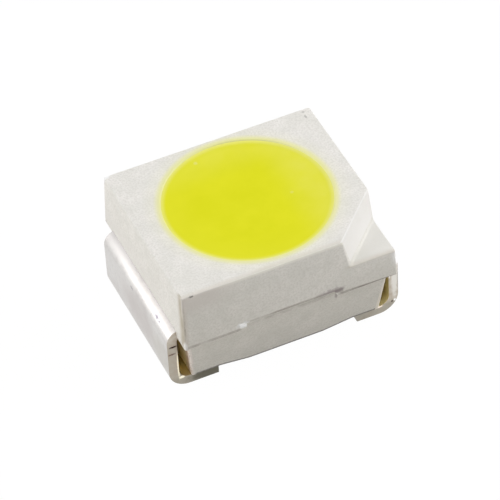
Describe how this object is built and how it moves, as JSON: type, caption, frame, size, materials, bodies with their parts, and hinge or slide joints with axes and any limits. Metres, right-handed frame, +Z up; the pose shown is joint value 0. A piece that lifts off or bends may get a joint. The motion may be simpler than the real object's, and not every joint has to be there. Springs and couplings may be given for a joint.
{
  "type": "light-emitting diode",
  "caption": "Surface-mount light-emitting diode: stepped housing with a round yellow-filled reflector cup, a notched cathode corner and leads folded under as solder feet.",
  "frame": {"origin": "middle of the part at the level of the undersides of the two feet", "axes": "+X from the anode lead to the cathode lead, along the length; +Y across the width; +Z up, the way the light leaves"},
  "size_m": [0.0036, 0.0028, 0.0019],
  "materials": {
    "housing_resin": "white filled polyamide, moulded, fine matt surface",
    "lead_metal": "silver-plated copper sheet, stamped and formed, satin, bare grey at the cut edges",
    "adhesive": "silver-filled die adhesive, cured",
    "chip": "clear sapphire with a grown gallium nitride layer and plated contacts",
    "gold_wire": "fine drawn gold wire, ball bonded",
    "phosphor_silicone": "cured silicone filled with yellow phosphor powder, smooth, slightly dished"
  },
  "bodies": {
    "root": {"housing": "housing_resin", "anode_lead": "lead_metal", "cathode_lead": "lead_metal", "die_attach": "adhesive", "led_chip": "chip", "anode_wire": "gold_wire", "cathode_wire": "gold_wire", "encapsulant": "phosphor_silicone"}
  },
  "joints": []
}
